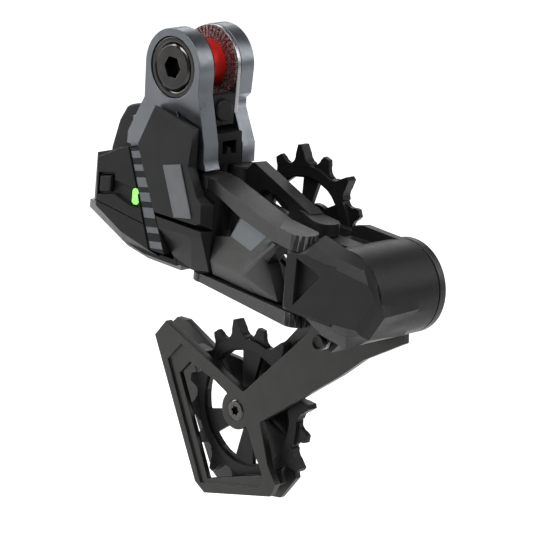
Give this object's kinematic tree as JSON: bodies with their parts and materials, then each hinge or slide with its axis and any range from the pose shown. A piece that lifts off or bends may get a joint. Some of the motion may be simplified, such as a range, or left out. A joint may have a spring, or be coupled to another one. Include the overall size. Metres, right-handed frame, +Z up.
{
  "type": "rear bicycle derailleur",
  "caption": "Electronic rear derailleur that clamps on the frame's dropout, with a horizontal four-bar linkage, sprung cage and narrow-wide guide wheels.",
  "frame": {"origin": "on the thru-axle line, at the inner face of the outer mounting arm", "axes": "+X forward along the bicycle, +Y inboard along the axle towards the wheel, +Z up along the link pins"},
  "size_m": [0.1724, 0.0553, 0.1965],
  "materials": {
    "forged_grey": "satin blue-grey paint",
    "polished_black": "dark polished steel",
    "bright_steel": "bright machined steel",
    "red_anodised": "red anodised",
    "ring_steel": "toothed ring, dark red and silver",
    "black_plastic": "black moulded plastic",
    "charcoal_paint": "matte charcoal",
    "link_grey": "warm dark grey satin",
    "badge_grey": "blank grey badge",
    "lamp_green": "green lamp lens",
    "skid_grey": "light grey replaceable guard",
    "battery_black": "dark battery casing",
    "contact_gold": "plated contact",
    "motor_steel": "motor can",
    "board_green": "circuit board",
    "bush_bronze": "sintered bronze bush",
    "wheel_black": "black moulded guide wheel",
    "cage_grey": "dark grey satin anodised",
    "seal_rubber": "rubber"
  },
  "bodies": {
    "b_knuckle": {"b_knuckle": "forged_grey", "mount_bolt": "polished_black", "bolt_ring": "polished_black", "arm_shim": "black_plastic", "frame_sleeve": "red_anodised", "fine_ring": "red_anodised", "coarse_ring": "ring_steel", "thrust_plate": "bright_steel", "frame_stop": "black_plastic", "setup_dial": "black_plastic", "gap_bracket": "black_plastic", "motor_housing": "black_plastic", "motor_cover": "charcoal_paint", "lower_cover": "black_plastic", "electronics_cover": "black_plastic", "housing_sill": "black_plastic", "slanted_panel": "black_plastic", "button_spring": "bright_steel", "status_lamp": "lamp_green", "blank_badge": "badge_grey", "drive_motor": "motor_steel", "middle_gear_pin": "bright_steel", "circuit_board": "board_green", "battery": "battery_black", "battery_contacts": "contact_gold", "latch_pin": "bright_steel", "skid_plate": "skid_grey", "inner_pin_b": "bright_steel", "housing_screws": "bright_steel"},
    "outer_link": {"outer_link": "link_grey", "outer_link_bushes": "bush_bronze", "output_gear": "bright_steel", "outer_pin_b": "bright_steel"},
    "inner_link": {"inner_link": "link_grey", "inner_link_bushes": "bush_bronze"},
    "p_knuckle": {"p_knuckle": "charcoal_paint", "barrel_cap": "motor_steel", "cage_bearings": "bright_steel", "cage_damper": "motor_steel", "one_way_clutch": "bright_steel", "cage_spring": "bright_steel", "barrel_seal": "seal_rubber", "outer_pin_p": "bright_steel", "inner_pin_p": "bright_steel", "lock_spring": "bright_steel"},
    "cage": {"outer_cage_plate": "cage_grey", "inner_cage_plate": "cage_grey", "wheel_bolts": "bright_steel", "wheel_caps": "wheel_black", "cage_axle": "bright_steel", "cage_stop_pin": "bright_steel"},
    "upper_wheel": {"upper_wheel": "wheel_black", "upper_wheel_bearing": "bright_steel"},
    "lower_wheel": {"lower_wheel": "wheel_black", "lower_wheel_bearing": "bright_steel"},
    "function_button": {"function_button": "black_plastic"},
    "cage_lock_button": {"cage_lock_button": "bright_steel"},
    "battery_latch": {"battery_latch": "black_plastic"},
    "motor_pinion": {"motor_pinion": "bright_steel"},
    "middle_gear": {"middle_gear": "bright_steel"}
  },
  "joints": [
    {"name": "link_swing", "type": "hinge", "parent": "b_knuckle", "child": "outer_link", "pos_m": [0.024, -0.002, -0.058], "axis": [0, 0, 1], "range_deg": [0, 40]},
    {"name": "inner_link_swing", "type": "hinge", "parent": "b_knuckle", "child": "inner_link", "pos_m": [0.019, 0.016, -0.05], "axis": [0, 0, 1], "range_deg": [0, 40]},
    {"name": "knuckle_turn", "type": "hinge", "parent": "outer_link", "child": "p_knuckle", "pos_m": [0.084, -0.014, -0.06], "axis": [0, 0, 1], "range_deg": [-40, 0]},
    {"name": "cage_swing", "type": "hinge", "parent": "p_knuckle", "child": "cage", "pos_m": [0.1074, 0, -0.0643], "axis": [0, -1, 0], "range_deg": [0, 70], "stiffness_Nm_per_rad": 0.5, "springref_deg": -40.11, "deforming": ["cage_spring"]},
    {"name": "upper_wheel_spin", "type": "hinge", "parent": "cage", "child": "upper_wheel", "pos_m": [0.04633, 0.02775, -0.05735], "axis": [0, 1, 0], "continuous": true},
    {"name": "lower_wheel_spin", "type": "hinge", "parent": "cage", "child": "lower_wheel", "pos_m": [0.02406, 0.02775, -0.1401], "axis": [0, 1, 0], "continuous": true},
    {"name": "function_press", "type": "slide", "parent": "b_knuckle", "child": "function_button", "axis": [0, 1, 0], "range_m": [0, 0.0012], "stiffness_N_per_m": 300, "springref_m": -0.0008, "deforming": ["button_spring"]},
    {"name": "cage_lock_press", "type": "slide", "parent": "p_knuckle", "child": "cage_lock_button", "axis": [0, 1, 0], "range_m": [0, 0.002], "stiffness_N_per_m": 400, "springref_m": -0.001, "deforming": ["lock_spring"]},
    {"name": "latch_open", "type": "hinge", "parent": "b_knuckle", "child": "battery_latch", "pos_m": [-0.0416, 0.01, -0.0656], "axis": [0, -1, 0], "range_deg": [0, 80]},
    {"name": "pinion_spin", "type": "hinge", "parent": "b_knuckle", "child": "motor_pinion", "pos_m": [0.00265, -0.002, -0.055], "axis": [0, 0, 1], "range_deg": [0, 80]},
    {"name": "middle_gear_spin", "type": "hinge", "parent": "b_knuckle", "child": "middle_gear", "pos_m": [0.0121, -0.002, -0.0535], "axis": [0, 0, 1], "range_deg": [-28, 0]}
  ],
  "couplings": [
    {"joint": "inner_link_swing", "follows": "link_swing", "ratio": 1},
    {"joint": "knuckle_turn", "follows": "link_swing", "ratio": -1},
    {"joint": "pinion_spin", "follows": "link_swing", "ratio": 2},
    {"joint": "middle_gear_spin", "follows": "link_swing", "ratio": -0.7}
  ]
}
